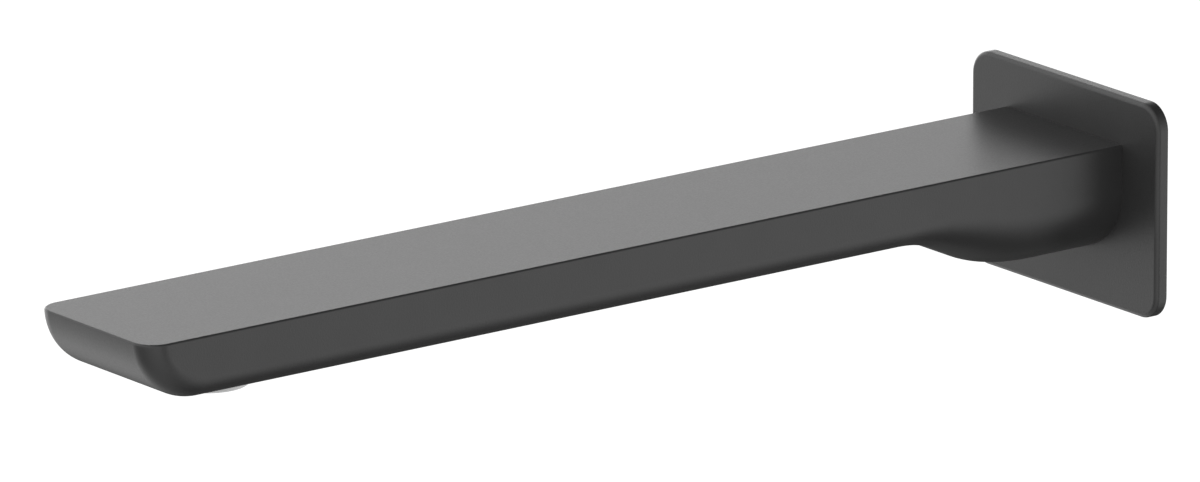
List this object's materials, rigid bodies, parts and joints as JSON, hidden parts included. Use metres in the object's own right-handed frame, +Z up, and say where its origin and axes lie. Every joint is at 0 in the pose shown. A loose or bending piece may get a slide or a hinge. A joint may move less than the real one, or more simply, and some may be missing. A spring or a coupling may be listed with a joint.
{
  "type": "bath spout",
  "caption": "Long flat bath spout with a rounded nose and a deep rounded end on a rectangular wall plate, matt black, with an aerator under the tip.",
  "frame": {"origin": "on the wall plane, on the axis of the inlet nipple, which is the centre of the wall plate", "axes": "+Y into the wall along the inlet's axis, +Z up, the spout runs towards -Y"},
  "size_m": [0.061, 0.2665, 0.0456],
  "materials": {
    "body_black": "fine matt black coating on cast brass",
    "plate_black": "fine matt black coating on brass",
    "foam": "closed-cell foam",
    "brass": "turned brass",
    "black_rubber": "moulded rubber",
    "screw_steel": "plain stainless steel",
    "pale_plastic": "moulded, satin",
    "white_plastic": "moulded, satin"
  },
  "bodies": {
    "root": {"spout_body": "body_black", "wall_plate": "plate_black", "plate_seal": "foam", "inlet_nipple": "brass", "nipple_o_ring_front": "black_rubber", "nipple_o_ring_rear": "black_rubber", "grub_screw": "screw_steel", "aerator_shell": "pale_plastic", "aerator_honeycomb": "white_plastic", "aerator_jet_plate": "white_plastic", "aerator_screen": "white_plastic", "aerator_seal": "black_rubber"}
  },
  "joints": []
}
